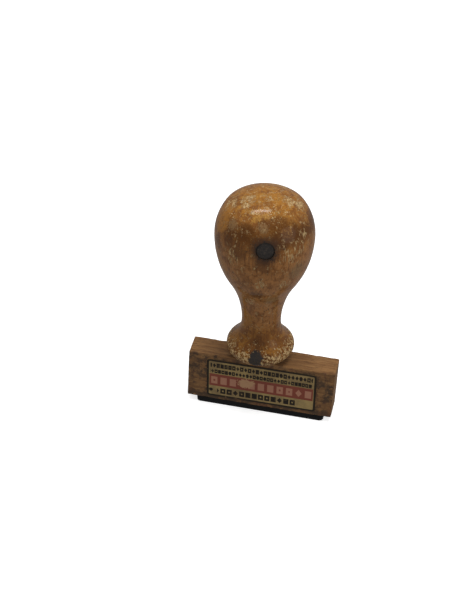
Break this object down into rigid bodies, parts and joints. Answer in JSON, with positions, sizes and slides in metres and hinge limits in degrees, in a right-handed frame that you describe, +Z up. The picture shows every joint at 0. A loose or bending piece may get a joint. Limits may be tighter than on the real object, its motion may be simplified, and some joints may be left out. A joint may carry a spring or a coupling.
{
  "type": "wooden hand stamp",
  "caption": "Hand stamp with a turned, lacquered knob handle screwed to a narrow upright wooden mount with a printed paper label and a black rubber die underneath.",
  "frame": {"origin": "middle of the printing face, on the surface that the stamp stands on, which is the bottom centre of the bounding box", "axes": "+Z up along the handle, X along the mount, -Y towards the labelled front"},
  "size_m": [0.053, 0.0336, 0.0907],
  "materials": {
    "lacquered_beech": "worn amber lacquer over turned beech, chipped on the shoulders and foot",
    "dark_peg": "dull, dark grey, slightly pitted",
    "mount_wood": "oiled brown beech, grimy along the lower edge",
    "label_paper": "aged cream paper with a red band and a dark border",
    "screw_steel": "plain bright steel",
    "sponge_rubber": "matt, finely porous",
    "die_rubber": "smooth black moulded rubber, faintly inky"
  },
  "bodies": {
    "root": {"handle": "lacquered_beech", "front_marker": "dark_peg", "mount": "mount_wood", "label": "label_paper", "mounting_screw": "screw_steel", "cushion": "sponge_rubber", "rubber_die": "die_rubber"}
  },
  "joints": []
}
